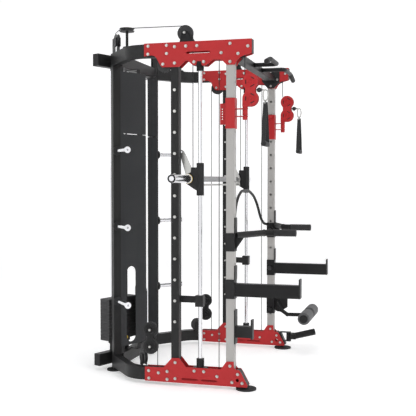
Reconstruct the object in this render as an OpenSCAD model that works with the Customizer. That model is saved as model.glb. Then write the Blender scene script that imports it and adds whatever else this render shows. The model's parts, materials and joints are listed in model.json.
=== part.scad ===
/* [Side frames] */
// Distance from the machine's centre to each side frame's middle
side_x = 630; // [560:5:700]
// Width of the square uprights
tube = 50; // [40:1:60]
// Wall of the square and rectangular tubes
wall = 4; // [2:0.5:6]
// Thickness of the cut side plates
plate_t = 5; // [4:1:8]
// Distance from the front upright to the rear upright
upright_gap = 350; // [300:5:400]
// Height of the frame's top edge
frame_top = 2110; // [2000:5:2200]
// Underside of the frame above the floor
frame_low = 20; // [15:1:30]
// Spacing of the holes in the front uprights
hole_pitch = 100; // [50:5:120]
// Diameter of the holes in the front uprights
hole_d = 16; // [10:0.5:20]

/* [Smith bar] */
// Distance of the guide rods behind the front uprights
rod_y = 194.5; // [180:0.5:210]
// Guide rod diameter
rod_d = 25; // [20:0.5:30]
// Distance of the bar behind the front uprights
bar_y = 262; // [250:1:275]
// Height of the bar at rest
bar_z = 1280; // [1250:1:1300]
// Diameter of the bar between the side frames
bar_d = 36; // [30:1:40]
// Diameter of the plate sleeves
sleeve_d = 50; // [48:0.5:50]
// Distance from the centre to the end of each sleeve
bar_end = 986; // [940:1:1100]
// Height of the lowest catch pin
catch_low = 399; // [380:1:420]
// Spacing of the catch pins
catch_pitch = 129.5; // [120:0.5:135]

/* [Cable carriages] */
// Height of the middle of each pulley head
head_z = 1810; // [1780:1:1820]
// Diameter of the cable pulleys
pulley_d = 98; // [90:1:100]
// Cable diameter
cable_d = 5; // [3:0.5:7]

/* [Weight towers] */
// Distance from the centre to each weight stack
tower_x = 213; // [200:1:230]
// Distance of each stack behind the front uprights
tower_y = 899; // [880:1:910]
// Angle each tower is turned outwards
tower_turn = 22; // [15:0.5:30]
// Number of weight plates in each stack
plate_count = 12; // [6:1:14]
// Spacing of the weight plates
plate_pitch = 23.7; // [20:0.1:25]

/* [Hidden] */
$fn = 48;
front_edge = -427;
rear_edge = tower_y + 215 * sin(tower_turn) + 25 * cos(tower_turn);
shift_y = -(rear_edge + front_edge) / 2;
half = tube / 2;
px = side_x + half + plate_t;
ix = side_x - half - plate_t;
col_x = 373;
col_y = 854;
cross_y = 851;
eps = 0.01;

module placed() {
  translate([0, shift_y, 0]) children();
}

module both() {
  children();
  mirror([1, 0, 0]) children();
}

module box(x0, x1, y0, y1, z0, z1) {
  translate([x0, y0, z0]) cube([x1 - x0, y1 - y0, z1 - z0]);
}

module xc(x0, x1, y, z, r) {
  translate([x0, y, z]) rotate([0, 90, 0]) cylinder(h = x1 - x0, r = r);
}

module yc(x, y0, y1, z, r) {
  translate([x, y0, z]) rotate([-90, 0, 0]) cylinder(h = y1 - y0, r = r);
}

module zc(x, y, z0, z1, r) {
  translate([x, y, z0]) cylinder(h = z1 - z0, r = r);
}

module yz(x0, x1) {
  translate([x0, 0, 0]) rotate([90, 0, 90]) linear_extrude(x1 - x0) children();
}

module bar(a, b, r) {
  d = b - a;
  l = norm(d);
  translate(a) rotate([0, acos(d[2] / l), atan2(d[1], d[0])]) cylinder(h = l, r = r);
}

module ball(p, r) {
  translate(p) sphere(r = r);
}

// A run of round tube through a list of points
module run(p, r) {
  for (i = [0:len(p) - 2]) bar(p[i], p[i + 1], r);
  for (i = [1:len(p) - 2]) ball(p[i], r * 1.12);
}

// Plate outlines in front-to-back and height
module upper_outline() {
  difference() {
    polygon([[-132, 2113], [547, 2113], [547, 2034], [501, 2040], [483, 2036], [468, 2024],
      [457, 2004], [443, 1979], [431, 1964], [319, 1962], [280, 1998], [266, 1998],
      [235, 1970], [214, 1967], [207, 1992], [182, 1992], [175, 1965],
      [151, 1964], [106, 1998], [53, 1995], [23, 1964], [-29, 1962],
      [-45, 1990], [-62, 2006], [-85, 2015], [-122, 2025], [-132, 2031]]);
    translate([131, 2040]) square([138, 12]);
    translate([131, 2046]) circle(r = 6);
    translate([269, 2046]) circle(r = 6);
  }
}

module lower_outline() {
  difference() {
    polygon([[547, 108], [547, 20], [-105, 20], [-111, 31], [-70, 106], [-57, 124],
      [-38, 124], [-26, 137], [-23, 173], [22, 171], [57, 122], [278, 121], [322, 174],
      [370, 172], [427, 110]]);
    translate([209, 40]) square([92, 12]);
    translate([209, 46]) circle(r = 6);
    translate([301, 46]) circle(r = 6);
    translate([87, 40]) square([89, 12]);
    translate([87, 46]) circle(r = 6);
    translate([176, 46]) circle(r = 6);
    translate([-47, 61]) circle(r = 10);
  }
}

upper_bolts = [[520, 2096], [521, 2047], [400, 2096], [400, 2046], [349, 2085], [349, 1986],
  [424, 1982], [277, 2086], [207, 2085], [225, 1988], [164, 1987], [55, 2036], [0, 2089],
  [0, 1981], [-49, 2027], [-109, 2069]];
lower_bolts = [[521, 85], [520, 38], [457, 75], [400, 87], [400, 38], [348, 146], [348, 46],
  [225, 101], [164, 101], [80, 77], [-1, 146], [-49, 98], [-14, 47], [-77, 46]];

module upper_plates_outer() {
  color([0.70, 0.19, 0.20]) placed() both() yz(-px, -px + plate_t) upper_outline();
}

module upper_plates_inner() {
  color([0.70, 0.19, 0.20]) placed() both() yz(-ix - plate_t, -ix) upper_outline();
}

module lower_plates_outer() {
  color([0.70, 0.19, 0.20]) placed() both() yz(-px, -px + plate_t) lower_outline();
}

module lower_plates_inner() {
  color([0.70, 0.19, 0.20]) placed() both() yz(-ix - plate_t, -ix) lower_outline();
}

module bolt(y, z) {
  xc(-px - 3, -px, y, z, 9.5);
  xc(-px - 8, -px - 3, y, z, 7);
  xc(-ix, -ix + 8, y, z, 8);
}

module frame_bolts() {
  color([0.62, 0.62, 0.60]) placed() both() {
    for (b = upper_bolts) bolt(b[0], b[1]);
    for (b = lower_bolts) bolt(b[0], b[1]);
  }
}

// Square front upright with its rows of holes
module front_post() {
  difference() {
    box(-side_x - half, -side_x + half, -half, half, frame_low, frame_top);
    box(-side_x - half + wall, -side_x + half - wall, -half + wall, half - wall,
      frame_low - 1, frame_top - wall);
    for (k = [0:17]) xc(-side_x, -side_x + half + 1, 0, 264 + k * hole_pitch, hole_d / 2);
    for (k = [0:17]) yc(-side_x, -half - 1, 0, 264 + k * hole_pitch, hole_d / 2);
  }
}

module front_uprights() {
  color([0.65, 0.64, 0.62]) placed() both() front_post();
}

module rear_post() {
  difference() {
    box(-side_x - half, -side_x + half, upright_gap - half, upright_gap + half,
      frame_low, frame_top);
    box(-side_x - half + wall, -side_x + half - wall, upright_gap - half + wall,
      upright_gap + half - wall, frame_low - 1, frame_top - wall);
    for (k = [0:11])
      xc(-side_x - half - 1, -side_x + half + 1, upright_gap, catch_low + k * catch_pitch, 6.1);
  }
}

module rear_uprights() {
  color([0.09, 0.09, 0.09]) placed() both() rear_post();
}

module catch_pins() {
  color([0.75, 0.75, 0.76]) placed() both() for (k = [0:11]) {
    xc(-side_x - half, -side_x + half + 29, upright_gap, catch_low + k * catch_pitch, 6);
    xc(-side_x - half - 8, -side_x - half, upright_gap, catch_low + k * catch_pitch, 9);
  }
}

// Plan outline of the bent tube that joins a side frame to its rear column
module bend_outline(w) {
  translate([-side_x - w / 2, upright_gap + half]) square([w, 568 - upright_gap - half + eps]);
  translate([-side_x + 150, 568]) intersection() {
    difference() {
      circle(r = 150 + w / 2);
      circle(r = 150 - w / 2);
    }
    polygon([[0, 0], [-300, 0], [-300, 300], [300 * cos(130), 300 * sin(130)]]);
  }
  translate([-side_x + 150 + 150 * cos(130), 568 + 150 * sin(130)]) rotate(40)
    translate([-eps, -w / 2]) square([240.7, w]);
}

module bent_tube(z0) {
  difference() {
    translate([0, 0, z0]) linear_extrude(80) bend_outline(tube);
    translate([0, 0, z0 + wall]) linear_extrude(80 - 2 * wall) bend_outline(tube - 2 * wall);
  }
}

module upper_bent_tubes() {
  color([0.09, 0.09, 0.09]) placed() both() bent_tube(2029);
}

module lower_bent_tubes() {
  color([0.09, 0.09, 0.09]) placed() both() bent_tube(24);
}

module at_column() {
  translate([-col_x, col_y, 0]) rotate(40) children();
}

module rear_columns() {
  color([0.09, 0.09, 0.09]) placed() both() at_column() difference() {
    box(-25, 25, -25, 25, 10, 2109);
    box(-21, 21, -21, 21, 14, 2110);
    for (z = [469, 968, 1466]) xc(-26, -20, 0, z, 8);
  }
}

module cross_tube(z0) {
  difference() {
    box(-col_x, col_x, cross_y - 25, cross_y + 25, z0, z0 + 80);
    box(-col_x - 1, col_x + 1, cross_y - 21, cross_y + 21, z0 + wall, z0 + 80 - wall);
    at_column() box(-60, 25, -60, 60, z0 - 1, z0 + 81);
    mirror([1, 0, 0]) at_column() box(-60, 25, -60, 60, z0 - 1, z0 + 81);
  }
}

module rear_crossmembers() {
  color([0.09, 0.09, 0.09]) placed() {
    cross_tube(24);
    cross_tube(2029);
  }
}

module at_tower() {
  translate([-tower_x, tower_y, 0]) rotate(-tower_turn) children();
}

module tower_beam(z0) {
  difference() {
    at_tower() box(-215, 150, -25, 25, z0, z0 + 80);
    at_tower() box(-211, 160, -21, 21, z0 + wall, z0 + 80 - wall);
    box(-600, 0, cross_y - 200, cross_y + 25, z0 - 1, z0 + 81);
  }
}

module tower_beams() {
  color([0.09, 0.09, 0.09]) placed() both() {
    tower_beam(30);
    tower_beam(2029);
  }
}

module guide_rods() {
  color([0.80, 0.80, 0.82]) placed() both() at_tower() for (x = [-70, 70])
    zc(x, 0, 110, 2029, 10);
}

module stack_cushions() {
  color([0.06, 0.06, 0.06]) placed() both() at_tower() for (x = [-70, 70]) difference() {
    union() {
      zc(x, 0, 110, 162, 17);
      zc(x, 0, 162, 186, 26);
    }
    zc(x, 0, 109, 190, 10.05);
  }
}

// Folded sheet cover that stands in front of each weight stack
module shroud(z0, z1) {
  difference() {
    union() {
      box(-104, 152, -114, -112, z0, z1);
      box(150, 152, -114, -47, z0, z1);
    }
    box(-44, 44, -120, -110, 218, 644);
    yc(0, -120, -110, 218, 44);
    yc(0, -120, -110, 644, 44);
  }
}

module shrouds_lower() {
  color([0.035, 0.036, 0.040]) placed() both() at_tower() shroud(154, 1582);
}

module shrouds_upper() {
  color([0.035, 0.036, 0.040]) placed() both() at_tower() shroud(1586, 2000);
}

module shroud_brackets() {
  color([0.09, 0.09, 0.09]) placed() both() at_tower() {
    for (x = [-96, 66]) box(x, x + 30, -112, -109, 110, 168);
    for (x = [-96, 66]) box(x, x + 30, -110, -18, 110, 114);
    for (x = [-96, 66]) box(x, x + 30, -112, -109, 1980, 2029);
    for (x = [-96, 66]) box(x, x + 30, -110, -18, 2025, 2029);
    for (x = [-96, 66]) box(x, x + 30, -112, -109, 1560, 1608);
  }
}

module smith_rods() {
  color([0.80, 0.80, 0.82]) placed() both() zc(-side_x, rod_y, 122, 1990, rod_d / 2);
}

module rod_brackets() {
  color([0.12, 0.12, 0.12]) placed() both() {
    difference() {
      union() {
        zc(-side_x, rod_y, 1936, 1970, 22.5);
        box(-side_x - 24, -side_x + 24, 150, 236, 1970, 1996);
      }
      zc(-side_x, rod_y, 1930, 1990, rod_d / 2 + 0.02);
    }
    difference() {
      union() {
        zc(-side_x, rod_y, 121, 175, 24);
        box(-side_x - 24, -side_x + 24, 150, 236, 92, 121);
      }
      zc(-side_x, rod_y, 122, 180, rod_d / 2 + 0.02);
    }
  }
}

module pull_up_crossmember() {
  color([0.09, 0.09, 0.09]) placed() {
    difference() {
      box(-ix + 8, ix - 8, -30, 30, 2014, 2054);
      box(-ix + 12, ix - 12, -26, 26, 2018, 2050);
    }
    both() difference() {
      yz(-ix, -ix + 8) polygon([[-66, 2098], [66, 2098], [66, 2016], [24, 1964],
        [-24, 1964], [-66, 2006]]);
      for (b = [[0, 2089], [0, 1981], [-49, 2027], [55, 2036]]) xc(-ix - 1, -ix + 9, b[0], b[1], 8.5);
    }
  }
}

module pull_up_bars() {
  color([0.09, 0.09, 0.09]) placed() both() {
    run([[-126, -30, 2034], [-126, -168, 2034], [-145, -187, 2034], [-350, -187, 2034],
      [-490, -187, 2000]], 16);
  }
}

module front_spacers() {
  color([0.13, 0.13, 0.13]) placed() both() {
    yz(-side_x - 24.5, -side_x + 24.5) polygon([[-104, 21], [-110, 31], [-69, 106],
      [-57, 121], [-40, 121], [-40, 116], [-55, 116], [-64, 103], [-104, 31], [-101, 27],
      [-27, 27], [-27, 21]]);
    box(-side_x - 24.5, -side_x + 24.5, -133, -127, 2030, 2112);
  }
}

module foot_pads() {
  color([0.05, 0.05, 0.05]) placed() both() {
    zc(-620, -92, 0, 10, 62.5);
    zc(-620, -88, 10, 21, 14);
    zc(-col_x, col_y + 16, 0, 10, 50);
  }
}

module storage_pegs() {
  color([0.80, 0.80, 0.82]) placed() both() at_column() for (z = [469, 968, 1466]) difference() {
    union() {
      xc(-236, -25, 0, z, 15);
      xc(-243, -236, 0, z, 21);
    }
    xc(-244, -200, 0, z, 6);
  }
}

module peg_collars() {
  color([0.05, 0.05, 0.05]) placed() both() at_column() for (z = [469, 968, 1466]) difference() {
    xc(-41, -25, 0, z, 29.5);
    xc(-42, -24, 0, z, 15.05);
  }
}

// Square sleeve that slips over a front upright
module sleeve(z0, z1) {
  difference() {
    box(-side_x - 29, -side_x + 29, -29, 29, z0, z1);
    box(-side_x - 25.3, -side_x + 25.3, -25.3, 25.3, z0 - 1, z1 + 1);
  }
}

module lock_pin(z) {
  xc(-side_x + 28.5, -side_x + 46, 0, z, 8);
  xc(-side_x + 46, -side_x + 66, 0, z, 13);
}

module spotter_arms() {
  color([0.09, 0.09, 0.09]) placed() both() {
    difference() {
      box(-side_x - 25, -side_x + 25, -418, -28.5, 569, 647);
      box(-side_x - 21, -side_x + 21, -414, -37, 573, 643);
    }
    box(-side_x - 30, -side_x + 30, front_edge, -418, 569, 685);
    sleeve(554, 671);
    box(-side_x - 27, -side_x + 27, -32, -25.5, 670, 755);
    lock_pin(610);
  }
}

module dip_arms() {
  color([0.09, 0.09, 0.09]) placed() both() {
    sleeve(842, 952);
    box(-side_x - 27, -side_x + 27, -32, -25.5, 951, 1045);
    yz(-side_x - 3, -side_x + 3) polygon([[-28.5, 925], [-80, 925], [-28.5, 850]]);
    difference() {
      bar([-626, -24, 937], [-346, -145, 937], 20);
      box(-700, -500, -28, 60, 900, 990);
    }
    ball([-346, -145, 937], 22.5);
    bar([-346, -145, 937], [-318, -204, 937], 20);
    ball([-318, -204, 937], 22.5);
    yc(-318, -345, -204, 937, 20);
    lock_pin(896);
  }
}

brace_half = [[-599, 28, 942], [-490, 31, 952], [-402, 36, 1000], [-335, 45, 1095],
  [-245, 51, 1160], [-110, 58, 1200]];
brace_path = [for (i = [0:11]) i < 6 ? brace_half[i]
  : [-brace_half[11 - i][0], brace_half[11 - i][1], brace_half[11 - i][2]]];

module arched_brace() {
  color([0.09, 0.09, 0.09]) placed() {
    for (i = [0:10]) bar(brace_path[i], brace_path[i + 1], 9.5);
    for (i = [1:10]) ball(brace_path[i], 10.6);
  }
}

module j_cup() {
  color([0.09, 0.09, 0.09]) placed() {
    box(-side_x - 27, -side_x + 32, -33, -25.3, 279, 486);
    box(-side_x + 25.3, -side_x + 32, -26, 28, 300, 420);
    box(-side_x - 22, -side_x + 22, -127, -33, 320, 388);
    box(-side_x - 22, -side_x + 22, -138, -127, 311, 430);
    xc(-side_x + 32, -side_x + 50, 0, 360, 9);
  }
}

module rod_stop(k) {
  z = catch_low + k * catch_pitch;
  difference() {
    union() {
      box(-side_x - 23, -side_x + 23, 172, 222, z - 32, z + 36);
      box(-side_x + 26, -side_x + 33, 172, 366, z - 16, z + 26);
      box(-side_x + 20, -side_x + 33, 172, 222, z - 16, z + 26);
    }
    zc(-side_x, rod_y, z - 60, z + 60, rod_d / 2 + 0.3);
    xc(-side_x, -side_x + 40, upright_gap, z, 6.4);
    box(-side_x + 24, -side_x + 40, upright_gap - 6.4, upright_gap + 6.4, z - 40, z);
  }
}

module smith_stops() {
  color([0.10, 0.10, 0.10]) placed() {
    rod_stop(1);
    mirror([1, 0, 0]) rod_stop(2);
  }
}

// Grooved pulley about the X axis with a bore
module pulley(r, w, bore) {
  rotate([0, 90, 0]) difference() {
    rotate_extrude() polygon([[0, -w / 2], [r, -w / 2], [r, -w / 2 + 3], [r - 7, -2], [r - 7, 2],
      [r, w / 2 - 3], [r, w / 2], [0, w / 2]]);
    cylinder(h = w + 2, r = bore, center = true);
  }
}

top_pulley_z = 2169;

module top_pulleys() {
  color([0.05, 0.05, 0.05]) placed() both() translate([-side_x, 288, top_pulley_z])
    pulley(pulley_d / 2, 22, 8.05);
}

module pulley_brackets() {
  color([0.09, 0.09, 0.09]) placed() both() {
    for (x = [-side_x - 22, -side_x + 17]) yz(x, x + 5)
      polygon([[225, 2109], [222, 2076], [290, 2076], [320, 2113], [306, 2180], [270, 2180]]);
    xc(-side_x - 26, -side_x + 26, 288, top_pulley_z, 8);
    zc(-555, 700, 2109, 2236, 9);
    zc(-555, 700, 2109, 2117, 26);
    xc(-side_x - 24.8, -side_x + 24.8, -64, 2027, 8);
    xc(-side_x - 24.8, -side_x + 24.8, 55, 2036, 8);
    xc(-side_x - 24.8, -side_x + 24.8, 98, 77, 8);
    xc(-side_x - 24.8, -side_x + 24.8, 424, 1982, 8);
    at_column() difference() {
      for (y = [-17, 12]) box(-62, 12, y, y + 5, 2109, 2206);
      box(-90, -41, -30, 30, 2100, 2150);
    }
    at_column() yc(-33, -17, 17, 2190, 8);
    for (z = [232, 337]) xc(-side_x - 20, -side_x + 20, 518, z, 6);
    for (x = [-side_x - 15, -side_x + 11]) difference() {
      yz(x, x + 4) union() {
        translate([518, 337]) circle(r = 40);
        translate([518, 232]) circle(r = 40);
        translate([497, 232]) square([42, 105]);
      }
      for (z = [232, 337]) for (a = [30, 150, 270]) translate([0, 518, z]) rotate([a, 0, 0])
        box(-side_x - 30, -side_x + 20, -12, 12, 20, 27);
    }
    translate([-592, 580, 0]) rotate(43) {
      for (y = [-16, 12]) box(-20, 20, y, y + 4, 104, 176);
      yc(0, -16, 16, 155, 6);
    }
  }
}

module fixed_pulleys() {
  color([0.05, 0.05, 0.05]) placed() both() {
    translate([-side_x, -64, 2027]) pulley(24, 22, 8.05);
    translate([-side_x, 55, 2036]) pulley(24, 22, 8.05);
    translate([-side_x, 98, 77]) pulley(27, 22, 8.05);
    translate([-side_x, 424, 1982]) pulley(46.5, 22, 8.05);
    translate([-555, 700, 2223]) rotate([0, 90, 0]) pulley(47.5, 20, 9.05);
    at_column() translate([-33, 0, 2190]) rotate(90) pulley(42, 20, 8.05);
    translate([-side_x, 518, 337]) pulley(pulley_d / 2, 18, 6.05);
    translate([-side_x, 518, 232]) pulley(pulley_d / 2, 18, 6.05);
    translate([-592, 580, 155]) rotate(133) pulley(47, 20, 6.05);
  }
}

cr = cable_d / 2;

module frame_cables() {
  color([0.04, 0.04, 0.04]) placed() both() {
    bar([-side_x, 75, 78], [-side_x, 75, 2036], cr);
    bar([-side_x, 472, 337], [-side_x, 472, 1970], cr);
    bar([-side_x, 472, 232], [-side_x, 472, 108], cr);
    bar([-side_x, 288, 2214], [-side_x + 29, 682, 2224], cr);
    bar([-570, 742, 2224], [-422, 834, 2231], cr);
  }
}

module leg_roller_arm() {
  color([0.09, 0.09, 0.09]) placed() mirror([1, 0, 0]) {
    sleeve(265, 400);
    yz(-side_x - 6, -side_x + 6) polygon([[-28, 396], [-127, 396], [-127, 312], [-72, 276],
      [-50, 276], [-28, 290]]);
    xc(-side_x - 14, -side_x + 24, -52, 351, 10);
    run([[-side_x + 13, -52, 351], [-side_x + 13, -84, 288], [-side_x + 13, -128, 258],
      [-side_x + 13, -286, 262]], 14);
    xc(-side_x - 28, -side_x + 28, -286, 267, 32);
    xc(-851, -394, -286, 267, 12.5);
    xc(-858, -851, -286, 267, 30);
    xc(-394, -387, -286, 267, 30);
    lock_pin(300);
  }
}

module foam_roller() {
  color([0.16, 0.16, 0.17]) placed() mirror([1, 0, 0]) difference() {
    union() {
      xc(-850, -side_x - 30, -286, 267, 45);
      xc(-side_x + 30, -395, -286, 267, 45);
    }
    xc(-852, -392, -286, 267, 12.55);
  }
}

mine_y = -137;

module landmine_base() {
  color([0.10, 0.10, 0.10]) placed() {
    yz(side_x - 24, side_x + 24) polygon([[-110.4, 31], [-69.4, 106], [-69.4, 124],
      [-77, 124], [-117, 31]]);
    box(side_x - 20, side_x + 20, mine_y - 16, -98.2, 54, 59);
    box(side_x - 20, side_x + 20, mine_y - 16, -72, 119, 124);
    zc(side_x, mine_y, 58, 120, 8);
  }
}

module landmine_yoke() {
  color([0.10, 0.10, 0.10]) placed() difference() {
    union() {
      zc(side_x, mine_y, 60, 118, 18);
      box(side_x - 32, side_x + 32, mine_y - 25, mine_y - 15, 72, 114);
      for (s = [-32, 26]) box(side_x + s, side_x + s + 6, mine_y - 58, mine_y - 15, 74, 114);
    }
    zc(side_x, mine_y, 30, 130, 8.06);
    xc(side_x - 40, side_x + 40, mine_y - 43, 94, 8.06);
  }
}

module landmine_tube() {
  color([0.10, 0.10, 0.10]) placed() translate([side_x, mine_y - 43, 94]) rotate([-15, 0, 0]) {
    difference() {
      yc(0, -160, 4, 0, 24);
      yc(0, -161, -30, 0, 20);
    }
    xc(-37, 37, 0, 0, 8);
  }
}

module smith_sliders() {
  color([0.10, 0.10, 0.10]) placed() both() difference() {
    union() {
      zc(-side_x, rod_y, 1178, 1377, 23);
      for (x = [-side_x - 21, -side_x + 13]) yz(x, x + 8)
        polygon([[205, 1350], [205, 1205], [236, 1222], [288, 1258], [294, 1282],
          [284, 1304], [250, 1320], [246, 1350]]);
      xc(-side_x - 21, -side_x + 21, bar_y, bar_z, 27);
      box(-side_x - 14, -side_x + 14, 212, 250, 1330, 1346);
    }
    zc(-side_x, rod_y, 1170, 1390, rod_d / 2 + 0.05);
    xc(-side_x - 30, -side_x + 30, bar_y, bar_z, bar_d / 2 + 0.05);
  }
}

module lift_cables() {
  color([0.04, 0.04, 0.04]) placed() both() zc(-side_x, 241, 1346, top_pulley_z, cr);
}

module smith_bar() {
  color([0.45, 0.45, 0.46]) placed() xc(-657, 657, bar_y, bar_z, bar_d / 2);
}

module bar_sleeves() {
  color([0.80, 0.80, 0.82]) placed() both() difference() {
    union() {
      xc(-bar_end, -657, bar_y, bar_z, sleeve_d / 2);
      xc(-672, -664, bar_y, bar_z, 28);
    }
    xc(-bar_end - 1, -700, bar_y, bar_z, 15);
  }
}

hook_y = 327.5;
hook_z = bar_z + 166.1;

module hook_outline() {
  difference() {
    union() {
      translate([bar_y, bar_z]) circle(r = 29);
      polygon([[238, 1300], [234, 1232], [262, 1230], [286, 1262], [335, 1434],
        [334, 1455], [315, 1455], [301, 1434]]);
      translate([hook_y, hook_z]) circle(r = 13.5);
    }
    translate([hook_y, hook_z]) circle(r = 7);
    translate([hook_y, hook_z]) rotate(-21.4) translate([0, -6.8]) square([40, 13.6]);
    translate([bar_y, bar_z]) circle(r = bar_d / 2 + 0.02);
  }
}

module hook_levers() {
  color([0.60, 0.60, 0.60]) placed() {
    both() yz(-597, -589) hook_outline();
    xc(-593, 593, 248, 1242, 6);
  }
}

module counterweights() {
  color([0.20, 0.20, 0.20]) placed() both() at_column() {
    box(-17, 17, -17, 17, 800, 1500);
    zc(0, 0, 1500, 1530, 8);
  }
}

// Red carriage that slides on a front upright
module carriage() {
  sleeve(1582, 1766);
  difference() {
    box(-side_x - 4, -side_x + 4, 28.5, 69, 1607, 1735);
    for (k = [0:4]) xc(-side_x - 6, -side_x + 6, 55, 1641 + k * 15, 4);
  }
  for (z = [1655, 1700]) difference() {
    union() {
      box(-side_x - 18, -side_x + 18, -86, -28.5, z - 2.5, z + 2.5);
      zc(-side_x, -86, z - 2.5, z + 2.5, 18.5);
    }
    zc(-side_x, -86, z - 4, z + 4, 12.05);
  }
  xc(-side_x + 28.5, -side_x + 46, 0, 1748, 8);
  xc(-side_x + 46, -side_x + 66, 0, 1748, 14);
}

module carriage_left() {
  color([0.70, 0.19, 0.20]) placed() carriage();
}

module carriage_right() {
  color([0.70, 0.19, 0.20]) placed() mirror([1, 0, 0]) carriage();
}

// Swivelling pulley head: pivot tube, two waisted cheeks and their axles
module cheek_outline() {
  difference() {
    union() {
      translate([-120, 1859]) circle(r = 48);
      translate([-120, 1760]) circle(r = 48);
      translate([-152, 1770]) square([64, 80]);
      translate([-110, 1712]) square([38, 48]);
    }
    translate([-188, 1809.5]) circle(r = 37);
    translate([-52, 1809.5]) circle(r = 37);
  }
}

module head() {
  difference() {
    zc(-side_x, -86, 1642, 1716, 12);
    zc(-side_x, -86, 1640, 1760, 4);
  }
  box(-side_x - 16, -side_x + 16, -108, -74, 1712, 1716);
  for (z = [1703, 1662]) difference() {
    zc(-side_x, -86, z, z + (z > 1700 ? 9 : 33), 16);
    zc(-side_x, -86, z - 1, z + 40, 4);
  }
  difference() {
    zc(-side_x, -86, 1634, 1652, 15);
    zc(-side_x, -86, 1630, 1660, 4);
  }
  difference() {
    for (x = [-side_x - 16, -side_x + 12]) yz(x, x + 4) cheek_outline();
    for (z = [1859, 1760]) for (a = [30, 150, 270]) translate([0, -120, z]) rotate([a, 0, 0])
      box(-side_x - 20, -side_x + 20, -13, 13, 24, 30);
  }
  for (z = [1859, 1760]) xc(-side_x - 21, -side_x + 21, -120, z, 8);
}

module head_wheels() {
  for (z = [1859, 1760]) translate([-side_x, -120, z]) pulley(44, 20, 8.05);
}

module head_wheels_left() {
  color([0.05, 0.05, 0.05]) placed() head_wheels();
}

module head_wheels_right() {
  color([0.05, 0.05, 0.05]) placed() mirror([1, 0, 0]) head_wheels();
}

module head_left() {
  color([0.70, 0.19, 0.20]) placed() head();
}

module head_right() {
  color([0.70, 0.19, 0.20]) placed() mirror([1, 0, 0]) head();
}

module head_cable_left() {
  color([0.04, 0.04, 0.04]) placed() zc(-side_x, -84, 1900, 2024, cr);
}

module head_cable_right() {
  color([0.04, 0.04, 0.04]) placed() zc(side_x, -84, 1900, 2024, cr);
}

// Ball stop, snap ring, strap loop and grip tube
module handle() {
  ball([-side_x, -172, head_z], 15);
  bar([-side_x, -174, head_z], [-side_x, -211, 1802], 5);
  translate([-side_x, -211, 1776]) rotate([0, 90, 0]) rotate_extrude() translate([26, 0]) circle(r = 4);
  box(-side_x - 16, -side_x + 16, -223, -197, 1730, 1749);
  for (s = [-1, 1]) translate([-side_x, -210, 0]) rotate([90, 0, 0]) linear_extrude(26, center = true)
    polygon([[s * 2, 1735], [s * 14, 1735], [s * 62, 1480], [s * 58, 1480]]);
  xc(-side_x - 60, -side_x + 60, -210, 1488, 15);
}

module handle_left() {
  color([0.06, 0.06, 0.06]) placed() handle();
}

module handle_right() {
  color([0.06, 0.06, 0.06]) placed() mirror([1, 0, 0]) handle();
}

module stack() {
  at_tower() for (k = [0:plate_count - 1]) difference() {
    box(-140, 140, -42, 42, 186.2 + k * plate_pitch, 186.2 + k * plate_pitch + 22.2);
    for (x = [-70, 70]) zc(x, 0, 175 + k * plate_pitch, 220 + k * plate_pitch, 10.6);
    zc(0, 0, 175 + k * plate_pitch, 220 + k * plate_pitch, 12.1);
    yc(0, -43, 43, 197.2 + k * plate_pitch, 4.2);
  }
}

module stack_left() {
  color([0.10, 0.10, 0.10]) placed() stack();
}

module stack_right() {
  color([0.10, 0.10, 0.10]) placed() mirror([1, 0, 0]) stack();
}

module selector() {
  at_tower() {
    difference() {
      zc(0, 0, 188, 530, 12);
      yc(0, -60, 60, 197.2, 4.05);
    }
    yc(0, -42.5, 30, 197.2, 4);
    yc(0, -70, -42.5, 197.2, 13);
    zc(0, 0, 530, 536, 20);
  }
}

module selector_left() {
  color([0.85, 0.72, 0.10]) placed() selector();
}

module selector_right() {
  color([0.85, 0.72, 0.10]) placed() mirror([1, 0, 0]) selector();
}

upper_plates_outer();
upper_plates_inner();
lower_plates_outer();
lower_plates_inner();
front_uprights();
rear_uprights();
catch_pins();
upper_bent_tubes();
lower_bent_tubes();
rear_columns();
rear_crossmembers();
tower_beams();
guide_rods();
stack_cushions();
shrouds_lower();
shrouds_upper();
shroud_brackets();
smith_rods();
rod_brackets();
pull_up_crossmember();
pull_up_bars();
front_spacers();
foot_pads();
storage_pegs();
peg_collars();
frame_bolts();
spotter_arms();
dip_arms();
arched_brace();
j_cup();
smith_stops();
pulley_brackets();
fixed_pulleys();
frame_cables();
leg_roller_arm();
foam_roller();
landmine_base();
landmine_yoke();
landmine_tube();
smith_sliders();
lift_cables();
smith_bar();
bar_sleeves();
hook_levers();
counterweights();
carriage_left();
carriage_right();
head_left();
head_right();
head_wheels_left();
head_wheels_right();
head_cable_left();
head_cable_right();
handle_left();
handle_right();
stack_left();
stack_right();
selector_left();
selector_right();
top_pulleys();
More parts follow.
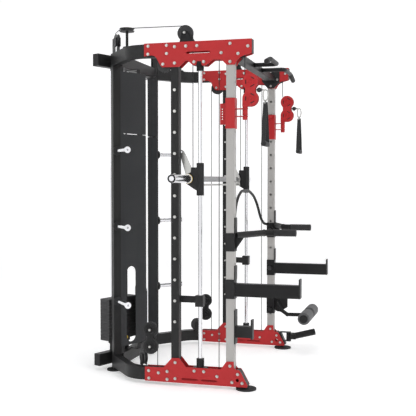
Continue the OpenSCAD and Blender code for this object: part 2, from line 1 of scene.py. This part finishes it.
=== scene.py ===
import json
import math
import bmesh
import bpy
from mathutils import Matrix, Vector


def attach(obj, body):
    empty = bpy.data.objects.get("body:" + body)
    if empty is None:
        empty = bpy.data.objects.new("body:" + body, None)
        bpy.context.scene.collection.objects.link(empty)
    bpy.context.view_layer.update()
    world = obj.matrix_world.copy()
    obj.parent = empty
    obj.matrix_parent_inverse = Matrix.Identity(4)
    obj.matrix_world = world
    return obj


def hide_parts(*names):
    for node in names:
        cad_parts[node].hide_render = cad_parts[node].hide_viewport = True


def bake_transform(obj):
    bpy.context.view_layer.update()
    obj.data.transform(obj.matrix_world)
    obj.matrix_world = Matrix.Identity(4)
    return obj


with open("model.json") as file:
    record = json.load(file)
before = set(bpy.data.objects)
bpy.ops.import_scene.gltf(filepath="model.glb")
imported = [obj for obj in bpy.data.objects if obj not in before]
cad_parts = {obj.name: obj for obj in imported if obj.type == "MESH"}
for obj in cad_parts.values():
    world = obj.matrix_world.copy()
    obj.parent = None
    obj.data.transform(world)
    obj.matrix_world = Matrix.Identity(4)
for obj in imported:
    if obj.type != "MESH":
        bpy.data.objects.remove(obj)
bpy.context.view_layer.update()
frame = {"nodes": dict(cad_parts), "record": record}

SHIFT = -0.28786    # metres from the front uprights' middle to the model's origin, along Y
RACK_X = 630        # millimetres from the middle to each side frame
CABLE_R = 2.5
HEAD_Z = 1810       # height at which a handle's cable leaves its pulley head
NODES = frame["nodes"]


def at(x, y, z):
    """A point given in millimetres from the front uprights, in metres in the model's frame."""
    return Vector((x / 1000, y / 1000 + SHIFT, z / 1000))


def shader_node(owner, kind):
    """The first shader node of a kind in a material or a world."""
    return next(x for x in owner.node_tree.nodes if x.type == kind)


def ring_of(bm, centre, u, v, radius, n):
    """A ring of n vertices about centre, in the plane of u and v, radius in millimetres."""
    ring = []
    for k in range(n):
        a = 2 * math.pi * k / n
        ring.append(bm.verts.new(centre + (u * math.cos(a) + v * math.sin(a)) * radius / 1000))
    return ring


def bridge(bm, rings):
    """Smooth quads between rings that follow each other."""
    n = len(rings[0])
    for r0, r1 in zip(rings, rings[1:]):
        for k in range(n):
            bm.faces.new((r0[k], r0[(k + 1) % n], r1[(k + 1) % n], r1[k])).smooth = True


def mesh_object(name, bm):
    """Turn a finished bmesh into an object in the scene, its normals facing out."""
    bmesh.ops.recalc_face_normals(bm, faces=bm.faces)
    mesh = bpy.data.meshes.new(name)
    bm.to_mesh(mesh)
    bm.free()
    obj = bpy.data.objects.new(name, mesh)
    bpy.context.scene.collection.objects.link(obj)
    return obj


# Materials ------------------------------------------------------------------

def material(name, colour, rough, metal=0.0, grain=220.0, bump=0.05, vary=0.12, wear=0.0,
             wear_colour=(0.30, 0.30, 0.30), dust=0.0, coat=0.0, stretch=(1, 1, 1), sheen=0.0,
             spec=0.4):
    """A procedural surface: slow tone, fine speckle and bump, and paint worn at the edges."""
    m = bpy.data.materials.new(name)
    m.use_nodes = True
    nt = m.node_tree
    nt.nodes.clear()
    n, link = nt.nodes.new, nt.links.new
    out = n("ShaderNodeOutputMaterial")
    bsdf = n("ShaderNodeBsdfPrincipled")
    link(bsdf.outputs[0], out.inputs[0])
    coord = n("ShaderNodeTexCoord")
    mapping = n("ShaderNodeMapping")
    mapping.inputs["Scale"].default_value = stretch
    link(coord.outputs["Object"], mapping.inputs["Vector"])
    fine = n("ShaderNodeTexNoise")
    fine.inputs["Scale"].default_value = grain
    fine.inputs["Detail"].default_value = 5.0
    link(mapping.outputs[0], fine.inputs["Vector"])
    broad = n("ShaderNodeTexNoise")
    broad.inputs["Scale"].default_value = 5.0
    broad.inputs["Detail"].default_value = 6.0
    link(coord.outputs["Object"], broad.inputs["Vector"])
    # colour: base, a slow change of tone and a fine speckle
    tone = n("ShaderNodeValToRGB")
    tone.color_ramp.elements[0].position = 0.30
    tone.color_ramp.elements[1].position = 0.72
    lo = [c * (1 - vary) for c in colour]
    hi = [min(1.0, c * (1 + vary) + dust) for c in colour]
    tone.color_ramp.elements[0].color = (*lo, 1)
    tone.color_ramp.elements[1].color = (*hi, 1)
    both = n("ShaderNodeMix")
    both.data_type = "FLOAT"
    both.inputs[0].default_value = 0.35
    link(broad.outputs["Fac"], both.inputs[2])
    link(fine.outputs["Fac"], both.inputs[3])
    link(both.outputs[0], tone.inputs[0])
    last = tone.outputs[0]
    if wear:
        geo = n("ShaderNodeNewGeometry")
        edge = n("ShaderNodeMapRange")
        edge.inputs["From Min"].default_value = 0.53
        edge.inputs["From Max"].default_value = 0.60
        link(geo.outputs["Pointiness"], edge.inputs["Value"])
        times = n("ShaderNodeMath")
        times.operation = "MULTIPLY"
        link(edge.outputs[0], times.inputs[0])
        link(fine.outputs["Fac"], times.inputs[1])
        much = n("ShaderNodeMath")
        much.operation = "MULTIPLY"
        much.inputs[1].default_value = wear
        link(times.outputs[0], much.inputs[0])
        mix = n("ShaderNodeMix")
        mix.data_type = "RGBA"
        mix.inputs[7].default_value = (*wear_colour, 1)
        link(much.outputs[0], mix.inputs[0])
        link(last, mix.inputs[6])
        last = mix.outputs[2]
    link(last, bsdf.inputs["Base Color"])
    bsdf.inputs["Metallic"].default_value = metal
    gloss = n("ShaderNodeMapRange")
    gloss.inputs["To Min"].default_value = max(0.03, rough - 0.07)
    gloss.inputs["To Max"].default_value = min(1.0, rough + 0.09)
    link(both.outputs[0], gloss.inputs["Value"])
    link(gloss.outputs[0], bsdf.inputs["Roughness"])
    bump_node = n("ShaderNodeBump")
    bump_node.inputs["Strength"].default_value = bump
    bump_node.inputs["Distance"].default_value = 0.0006
    link(fine.outputs["Fac"], bump_node.inputs["Height"])
    link(bump_node.outputs[0], bsdf.inputs["Normal"])
    bsdf.inputs["Specular IOR Level"].default_value = spec
    bsdf.inputs["Coat Weight"].default_value = coat
    bsdf.inputs["Coat Roughness"].default_value = 0.12
    bsdf.inputs["Sheen Weight"].default_value = sheen
    return m


def woven(name, colour):
    """Flat webbing: a fine twill across the strap, with a soft sheen."""
    m = material(name, colour, 0.85, grain=600, bump=0.3, vary=0.25, sheen=0.25)
    nt = m.node_tree
    bsdf = shader_node(m, "BSDF_PRINCIPLED")
    coord = shader_node(m, "TEX_COORD")
    wave = nt.nodes.new("ShaderNodeTexWave")
    wave.wave_type = "BANDS"
    wave.bands_direction = "DIAGONAL"
    wave.inputs["Scale"].default_value = 300.0
    nt.links.new(coord.outputs["Object"], wave.inputs["Vector"])
    bump = nt.nodes.new("ShaderNodeBump")
    bump.inputs["Strength"].default_value = 0.6
    bump.inputs["Distance"].default_value = 0.0006
    nt.links.new(wave.outputs["Fac"], bump.inputs["Height"])
    nt.links.new(bump.outputs[0], bsdf.inputs["Normal"])
    return m


def knurled(name, colour):
    """Crossed diagonal cuts around a bar that lies along X."""
    m = material(name, colour, 0.35, metal=1.0, grain=400, bump=0.1, vary=0.15)
    nt = m.node_tree
    bsdf = shader_node(m, "BSDF_PRINCIPLED")
    coord = shader_node(m, "TEX_COORD")
    waves = []
    for turn in (0.7854, -0.7854):
        mp = nt.nodes.new("ShaderNodeMapping")
        mp.inputs["Rotation"].default_value = (0, turn, turn)
        nt.links.new(coord.outputs["Object"], mp.inputs["Vector"])
        wave = nt.nodes.new("ShaderNodeTexWave")
        wave.inputs["Scale"].default_value = 160.0
        nt.links.new(mp.outputs[0], wave.inputs["Vector"])
        waves.append(wave)
    times = nt.nodes.new("ShaderNodeMath")
    times.operation = "MULTIPLY"
    nt.links.new(waves[0].outputs["Fac"], times.inputs[0])
    nt.links.new(waves[1].outputs["Fac"], times.inputs[1])
    bump = nt.nodes.new("ShaderNodeBump")
    bump.inputs["Strength"].default_value = 0.8
    bump.inputs["Distance"].default_value = 0.001
    nt.links.new(times.outputs[0], bump.inputs["Height"])
    nt.links.new(bump.outputs[0], bsdf.inputs["Normal"])
    return m


RED = material("red_powder_coat", (0.43, 0.017, 0.020), 0.46, grain=900, bump=0.10, vary=0.08,
               wear=0.35, wear_colour=(0.52, 0.06, 0.06), spec=0.24)
BLACK = material("black_powder_coat", (0.0095, 0.0095, 0.0100), 0.42, grain=1100, bump=0.15,
                 vary=0.15, wear=0.3, wear_colour=(0.07, 0.07, 0.07), spec=0.22)
SILVER = material("silver_powder_coat", (0.34, 0.33, 0.315), 0.42, metal=0.15, spec=0.35,
                  grain=1300, bump=0.12, vary=0.08, wear=0.5, wear_colour=(0.62, 0.61, 0.60))
CHROME = material("chrome", (0.78, 0.78, 0.80), 0.12, metal=1.0, grain=60, bump=0.015, vary=0.05,
                  stretch=(1, 1, 0.1))
ZINC = material("zinc_plate", (0.52, 0.52, 0.50), 0.32, metal=1.0, grain=500, bump=0.06, vary=0.18)
STEEL = knurled("knurled_grip", (0.36, 0.36, 0.37))
IRON = material("cast_iron", (0.016, 0.016, 0.017), 0.55, grain=350, bump=0.35, vary=0.25,
                wear=0.4, wear_colour=(0.12, 0.12, 0.12))
RUBBER = material("rubber", (0.016, 0.016, 0.017), 0.72, grain=500, bump=0.25, vary=0.25,
                  dust=0.006)
NYLON = material("moulded_nylon", (0.018, 0.018, 0.019), 0.36, grain=700, bump=0.08, vary=0.18)
CABLE = material("cable_jacket", (0.012, 0.012, 0.012), 0.35, grain=300, bump=0.05, vary=0.2)
SHEET = material("cover_sheet", (0.019, 0.0205, 0.023), 0.40, grain=1400, bump=0.16, vary=0.10,
                 wear=0.3, wear_colour=(0.08, 0.08, 0.08), spec=0.22)
FOAM = material("grey_foam", (0.115, 0.115, 0.118), 0.88, grain=420, bump=0.9, vary=0.30,
                sheen=0.1)
WEB = woven("black_webbing", (0.018, 0.018, 0.019))
YELLOW = material("yellow_paint", (0.72, 0.50, 0.04), 0.40, grain=700, bump=0.08, vary=0.10,
                  coat=0.2)
GRIP = material("textured_grip", (0.020, 0.020, 0.021), 0.62, grain=260, bump=0.8, vary=0.25)

BY_SLOT = {"red_paint": RED, "black_paint": BLACK, "silver_paint": SILVER, "chrome": CHROME,
           "zinc": ZINC, "steel": STEEL, "iron": IRON, "rubber": RUBBER, "pulley_nylon": NYLON,
           "cable": CABLE, "shroud_sheet": SHEET, "foam": FOAM, "strap_web": WEB, "yellow": YELLOW}
SLOT_OF = {s["node"]: s["material_slot"] for s in frame["record"]["subparts"]}
for name, obj in NODES.items():
    want = BY_SLOT[SLOT_OF[name]]
    if not obj.data.materials:
        obj.data.materials.append(want)
    for i in range(len(obj.data.materials)):
        obj.data.materials[i] = want


# Building helpers -----------------------------------------------------------

def finish_piece(obj, mat, body, slot, *hides):
    obj.data.materials.clear()
    obj.data.materials.append(mat)
    if body:
        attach(obj, body)
    if hides:
        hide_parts(*hides)
    return obj


def tube(name, points, radius, mat, body, slot, *hides, round_at=0.0, sides=10):
    """Smooth round tube along points, with bends of the stated radius, as a mesh."""
    pts = [at(*p) for p in points]
    path = [pts[0]]
    for i in range(1, len(pts) - 1):
        a, b, c = pts[i - 1], pts[i], pts[i + 1]
        u, v = (a - b), (c - b)
        angle = u.angle(v)
        if round_at <= 0 or angle > 3.10:
            path.append(b)
            continue
        back = min(round_at / math.tan(angle / 2), u.length * 0.48, v.length * 0.48)
        p0, p2 = b + u.normalized() * back, b + v.normalized() * back
        for k in range(9):
            t = k / 8
            path.append(p0 * (1 - t) ** 2 + b * 2 * t * (1 - t) + p2 * t * t)
    path.append(pts[-1])
    clean = [path[0]]
    for p in path[1:]:
        if (p - clean[-1]).length > 1e-5:
            clean.append(p)
    path = clean
    bm = bmesh.new()
    rings = []
    ref = None
    n = sides * 2
    for i, p in enumerate(path):
        if i == 0:
            d = path[1] - p
        elif i == len(path) - 1:
            d = p - path[i - 1]
        else:
            d = (path[i + 1] - p).normalized() + (p - path[i - 1]).normalized()
        d.normalize()
        if ref is None:
            ref = d.orthogonal().normalized()
        ref = (ref - d * ref.dot(d)).normalized()
        side = d.cross(ref)
        rings.append(ring_of(bm, p, ref, side, radius, n))
    bridge(bm, rings)
    for ring, flip in ((rings[0], True), (rings[-1], False)):
        inner = []
        centre = sum((v.co for v in ring), Vector()) / n
        for v in ring:
            inner.append(bm.verts.new(centre + (v.co - centre) * 0.86))
        for k in range(n):
            q = (ring[k], inner[k], inner[(k + 1) % n], ring[(k + 1) % n])
            bm.faces.new(q if not flip else q[::-1])
        bm.faces.new(inner if not flip else inner[::-1])
    return finish_piece(mesh_object(name, bm), mat, body, slot, *hides)


def both(name, points, *rest, **kw):
    """The same tube on the left, as given, and mirrored on the right."""
    for tag, k in (("left", 1), ("right", -1)):
        tube(name + "_" + tag, [(p[0] * k, p[1], p[2]) for p in points], *rest, **kw)


def turned(name, profile, axis_at, direction, mat, body, slot, *hides, sides=40):
    """Lathe a profile of (along, radius) in millimetres about an axis."""
    d = Vector(direction).normalized()
    ref = d.orthogonal().normalized()
    side = d.cross(ref)
    base = at(*axis_at)
    bm = bmesh.new()
    rings = []
    for s, r in profile:
        rings.append(ring_of(bm, base + d * s / 1000, ref, side, max(r, 0.01), sides))
    bridge(bm, rings)
    bm.faces.new(rings[0])
    bm.faces.new(rings[-1])
    obj = mesh_object(name, bm)
    mod = obj.modifiers.new("edges", "EDGE_SPLIT")
    mod.split_angle = math.radians(40)
    return finish_piece(obj, mat, body, slot, *hides)


# Soft edges on the CAD plates and tubes: a small bevel in the shading only
for m in (RED, BLACK, SILVER, SHEET, IRON):
    nt = m.node_tree
    bump = shader_node(m, "BUMP")
    bevel = nt.nodes.new("ShaderNodeBevel")
    bevel.samples = 4
    bevel.inputs["Radius"].default_value = 0.0022
    nt.links.new(bevel.outputs[0], bump.inputs["Normal"])


# Arched brace, pull-up grips, dip handles -----------------------------------

tube("brace_tube", [(-597, 28, 942), (-490, 31, 952), (-402, 36, 1000), (-335, 45, 1095),
                    (-245, 51, 1160), (-110, 58, 1200), (110, 58, 1200), (245, 51, 1160),
                    (335, 45, 1095), (402, 36, 1000), (490, 31, 952), (597, 28, 942)],
     9.5, BLACK, "frame", "black_paint", "arched_brace", round_at=0.30)

for tag, k in (("left", 1), ("right", -1)):
    tube("pull_up_grip_" + tag, [(-126 * k, -30, 2034), (-126 * k, -187, 2034),
                                 (-360 * k, -187, 2034), (-490 * k, -187, 2000)],
         14, BLACK, "frame", "black_paint", "pull_up_bars", round_at=0.035)
    ridges = [(4 + j * 4, 16.4 - (j % 2) * 0.6) for j in range(26)]
    turned("pull_up_cover_" + tag, [(0, 14.2), (1, 16.2)] + ridges + [(108, 16.2), (110, 14.2)],
           (-384 * k, -187, 2034 - 24 * 0.2615), (-0.9675 * k, 0, -0.2530), GRIP, "frame", "rubber")
    ridges = [(5 + j * 4, 22.6 - (j % 2) * 0.6) for j in range(34)]
    turned("dip_cover_" + tag,
           [(0, 20.1), (1.5, 22.4)] + ridges + [(141, 22.2), (143, 18), (144, 2)],
           (-318 * k, -204, 937), (0, -1, 0), GRIP, "frame", "rubber")


# Cables ---------------------------------------------------------------------

for name, points in (
        ("front_cable", [(-RACK_X, 75, 78), (-RACK_X, 75, 2036)]),
        ("float_cable_up", [(-RACK_X, 472, 337), (-RACK_X, 472, 1970)]),
        ("float_cable_down", [(-RACK_X, 472, 232), (-RACK_X, 472, 108)]),
        ("roof_cable", [(-RACK_X, 288, 2214), (-608, 600, 2222), (-601, 690, 2224)]),
        ("roof_cable_rear", [(-570, 742, 2224), (-500, 786, 2229), (-422, 834, 2231)])):
    both(name, points, CABLE_R, CABLE, "frame", "cable", "frame_cables")


def moving_cable(name, points, held, bodies, *hides):
    """A cable that runs between two bodies, made as one fixed tube along the given points, its
    transform baked into the mesh.
    """
    c = tube(name, points, CABLE_R, CABLE, None, "cable", *hides)
    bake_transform(c)


for tag, k in (("left", 1), ("right", -1)):
    x, tower_x = -RACK_X * k, -213 * k
    moving_cable("lift_cable_" + tag, [(x, 241, 2169), (x, 241, 1346)],
                 [(x, 241, 2168), (x, 241, 1348)], ("frame", "smith_carriage"), "lift_cables")
    moving_cable("head_drop_cable_" + tag, [(x, -84, 2024), (x, -84, 1900)],
                 [(x, -84, 2023), (x, -84, 1902)], ("frame", "carriage_body_" + tag),
                 "head_cable_" + tag)
    moving_cable("handle_cable_" + tag, [(x, -146, HEAD_Z), (x, -160, HEAD_Z)],
                 [(x, -147, HEAD_Z), (x, -159, HEAD_Z)],
                 ("head_body_" + tag, "handle_body_" + tag))
    moving_cable("stack_cable_" + tag, [(tower_x, 899, 2020), (tower_x, 899, 536)],
                 [(tower_x, 899, 2019), (tower_x, 899, 538)], ("frame", "stack_body_" + tag))


# Foam rollers ---------------------------------------------------------------

def foam(name, x0, x1):
    """A foam sleeve from x0 to x1, with rounded ends and a slightly uneven surface."""
    n = int((x1 - x0) / 5)
    prof = [(0, 13.2), (0.2, 34), (1.5, 41), (5, 44.4)]
    prof += [(8 + j * (x1 - x0 - 16) / n,
              44.9 - 0.5 * math.exp(-(j / 3.0)) + 0.25 * math.sin(j * 1.7))
             for j in range(n + 1)]
    prof += [(x1 - x0 - 5, 44.4), (x1 - x0 - 1.5, 41), (x1 - x0 - 0.2, 34), (x1 - x0, 13.2)]
    o = turned(name, prof, (x0, -286, 267), (1, 0, 0), FOAM, "foam_body", "foam", "foam_roller",
               sides=48)


foam("foam_sleeve_inner", 395, 600)
foam("foam_sleeve_outer", 660, 850)


# Cable handles --------------------------------------------------------------

def ribbon(name, path, width, thick, mat, body, slot, *hides):
    """Flat webbing: path in millimetres in the X-Z plane at constant y, its width along Y."""
    bm = bmesh.new()
    rows = []
    for i, p in enumerate(path):
        a = path[max(i - 1, 0)]
        b = path[min(i + 1, len(path) - 1)]
        t = Vector((b[0] - a[0], 0, b[2] - a[2])).normalized()
        nrm = Vector((t.z, 0, -t.x))
        w = width / 2
        row = []
        for s, h in ((-w, 0.6), (-w * 0.86, 1), (0, 1.12), (w * 0.86, 1), (w, 0.6),
                     (w, -0.6), (w * 0.86, -1), (0, -1.12), (-w * 0.86, -1), (-w, -0.6)):
            q = at(p[0], p[1] + s, p[2]) + nrm * (h * thick / 2000)
            row.append(bm.verts.new(q))
        rows.append(row)
    bridge(bm, rows)
    bm.faces.new(rows[0])
    bm.faces.new(rows[-1])
    return finish_piece(mesh_object(name, bm), mat, body, slot, *hides)


for tag, k in (("left", -1), ("right", 1)):
    X = RACK_X * k
    body = "handle_body_" + tag
    node = "handle_" + tag
    arc = [(-15 * math.cos(a * math.pi / 14), 15 * math.sin(a * math.pi / 14))
           for a in range(2, 13)]
    turned("ball_stop_" + tag, [(-15, 5)] + arc + [(15, 5)],
           (X, -172, HEAD_Z), (0, -1, 0), NYLON, body, "pulley_nylon", node)
    ring = [(X, -208, 1812), (X, -222, 1803), (X, -226, 1776), (X, -220, 1750), (X, -208, 1742),
            (X, -199, 1752), (X, -197, 1778), (X, -200, 1802), (X, -207, 1811.5)]
    tube("snap_hook_" + tag, ring, 4, ZINC, body, "zinc", node, round_at=0.012)
    tube("snap_swivel_" + tag, [(X, -186, HEAD_Z), (X, -210, HEAD_Z)], 5, ZINC, body,
         "zinc", node)
    corners = [(-1, 1748), (-17, 1732), (-17, 1728), (17, 1728), (17, 1732), (1, 1748)]
    tube("end_ring_" + tag, [(X + dx, -210, z) for dx, z in corners], 3.2, ZINC, body,
         "zinc", node, round_at=0.006)
    for s in (-1, 1):
        side = []
        for j in range(15):
            t = j / 14
            side.append((X + s * (4 + 56 * t + 5 * math.sin(math.pi * t)), -210, 1733 - 232 * t))
        side += [(X + s * (63.5 + 2 * math.sin(j * math.pi / 6)), -210, 1500 - 5 * j)
                 for j in range(1, 6)]
        ribbon("handle_strap_%s_%s" % (tag, "inner" if s * k < 0 else "outer"), side, 25, 2.6,
               WEB, body, "strap_web", node)
    ribbon("strap_stitch_" + tag, [(X, -210, 1736 - j * 4) for j in range(9)], 24, 8.5,
           WEB, body, "strap_web", node)
    ridges = [(-55 + j * 5, 15.8 - 0.7 * (j % 2)) for j in range(23)]
    turned("handle_grip_" + tag,
           [(-60, 11), (-60, 14.2), (-58, 15.6)] + ridges + [(58, 15.6), (60, 14.2), (60, 11)],
           (X, -210, 1488), (1, 0, 0), GRIP, body, "rubber", node)


# Small parts ----------------------------------------------------------------

KNOB = [(0, 12), (2, 15.2), (8, 16.2), (16, 15.2), (20, 13.8), (23, 10), (24, 3)]

for tag, k in (("left", -1), ("right", 1)):
    # polished end caps of the plate sleeves
    turned("sleeve_rim_" + tag, [(0, 16), (0, 24), (-1.5, 25.2), (-4, 25.2), (-5, 25.02)],
           (986 * k, 262, 1280), (k, 0, 0), CHROME, "smith_bar_body", "chrome")
    turned("yellow_ring_" + tag, [(0, 28.1), (1, 29), (5, 29), (6, 28.1)],
           (665 * k, 262, 1280), (k, 0, 0), YELLOW, "smith_bar_body", "yellow")
    # bolt heads on the pulley axles
    for nm, place in (("top", (656 * k, 288, 2169)),
                      ("float_upper", (650 * k, 518, 337)),
                      ("float_lower", (650 * k, 518, 232))):
        turned("axle_bolt_%s_%s" % (nm, tag), [(-2, 5), (-2, 9), (3, 9), (5, 7.5), (5.5, 2)],
               place, (k, 0, 0), ZINC, "frame", "zinc", sides=6)
    # sixteen-sided knobs on the lock pins
    for nm, z, body, mat in (("spotter", 610, "frame", NYLON), ("dip", 896, "frame", NYLON),
                             ("carriage", 1748, "carriage_body_" + tag, RED)):
        turned("%s_knob_%s" % (nm, tag), KNOB, (584 * k, 0, z), (-k, 0, 0), mat, body,
               "red_paint" if mat is RED else "rubber", sides=16)


# Stage, light and camera ----------------------------------------------------

scene = bpy.context.scene
# a round bowl of a studio, so that every side of the machine has the same pale wall behind it
bowl = [(8 + 2 * math.sin(a * math.pi / 24), 2 - 2 * math.cos(a * math.pi / 24))
        for a in range(1, 13)]
bm = bmesh.new()
rows = []
for d, h in [(0.02, 0), (4, 0), (8, 0)] + bowl + [(10, 8)]:
    rows.append([bm.verts.new((d * math.cos(k * math.pi / 32), d * math.sin(k * math.pi / 32), h))
                 for k in range(64)])
bridge(bm, rows)
bm.faces.new(rows[0])
studio = mesh_object("studio", bm)
wall = material("studio_paint", (0.90, 0.90, 0.90), 0.9, grain=40, bump=0.01, vary=0.005,
                spec=0.0)
glow = shader_node(wall, "BSDF_PRINCIPLED")
glow.inputs["Emission Color"].default_value = (1, 1, 1, 1)
glow.inputs["Emission Strength"].default_value = 0.36
studio.data.materials.append(wall)


def lamp(name, place, aim, size, power):
    data = bpy.data.lights.new(name, "AREA")
    data.shape = "RECTANGLE"
    data.size, data.size_y = size
    data.energy = power
    o = bpy.data.objects.new(name, data)
    o.location = place
    o.rotation_euler = (Vector(aim) - Vector(place)).to_track_quat("-Z", "Y").to_euler()
    scene.collection.objects.link(o)


lamp("key", (-3.2, -4.2, 4.4), (0, 0, 1.0), (2.2, 2.0), 78)
lamp("fill", (-5.0, 2.4, 2.4), (0, 0.2, 1.1), (2.4, 2.0), 12)
lamp("top", (0.4, 0.2, 5.6), (0, 0, 0.6), (4.5, 4.5), 130)

world = bpy.data.worlds.new("studio_air")
scene.world = world
world.use_nodes = True
bg = shader_node(world, "BACKGROUND")
bg.inputs["Color"].default_value = (0.95, 0.96, 1.0, 1)
bg.inputs["Strength"].default_value = 0.20

cam_data = bpy.data.cameras.new("camera")
cam_data.sensor_width = 36
cam_data.lens = 68.155
cam = bpy.data.objects.new("camera", cam_data)
cam.location = at(-5257.3, -1154.9, 1263.8)
cam.rotation_euler = (math.radians(88.0733), 0, math.radians(-74.3036))
scene.collection.objects.link(cam)
scene.camera = cam
scene.view_settings.view_transform = "Standard"
